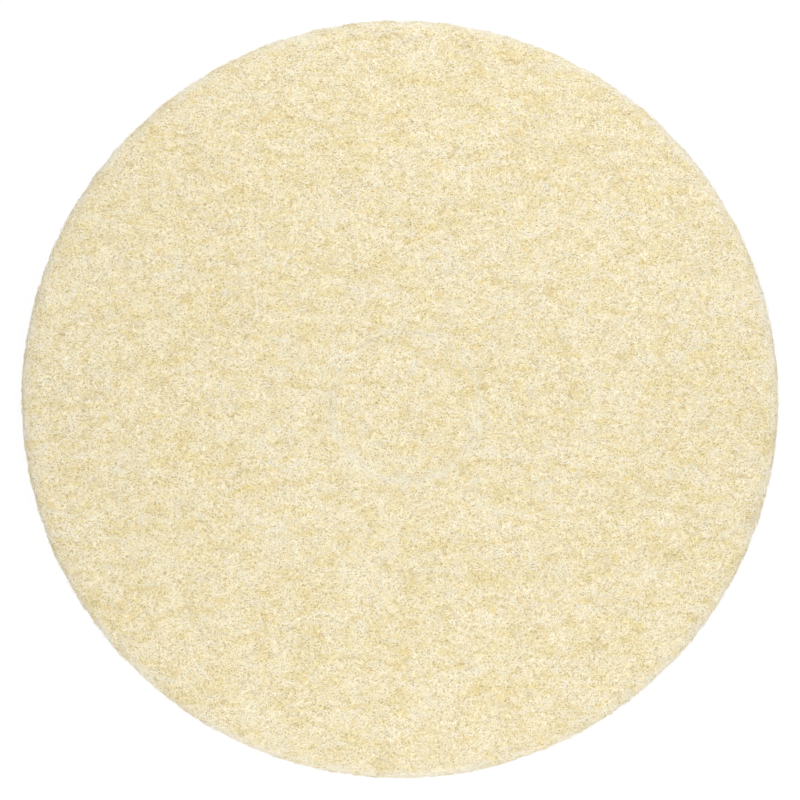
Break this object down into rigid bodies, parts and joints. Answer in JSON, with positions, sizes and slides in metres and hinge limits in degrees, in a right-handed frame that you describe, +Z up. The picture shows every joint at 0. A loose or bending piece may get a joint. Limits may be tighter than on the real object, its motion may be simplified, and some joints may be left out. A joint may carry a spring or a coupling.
{
  "type": "floor polishing pad",
  "caption": "Round, flat nonwoven fibre pad with a rolled edge and a partly cut centre plug, fitted under a floor machine to polish hard floors.",
  "frame": {"origin": "middle of the lower face, which rests on the floor", "axes": "+Z up through the pad's thickness, towards the face that the pad driver grips; +Y towards the top of the picture, +X towards its right"},
  "size_m": [0.432, 0.432, 0.025],
  "materials": {
    "nonwoven_web": "open, crinkled cream fibre web bonded with clear resin, matt with a faint sheen on the fibres"
  },
  "bodies": {
    "root": {"polishing_pad": "nonwoven_web"}
  },
  "joints": []
}
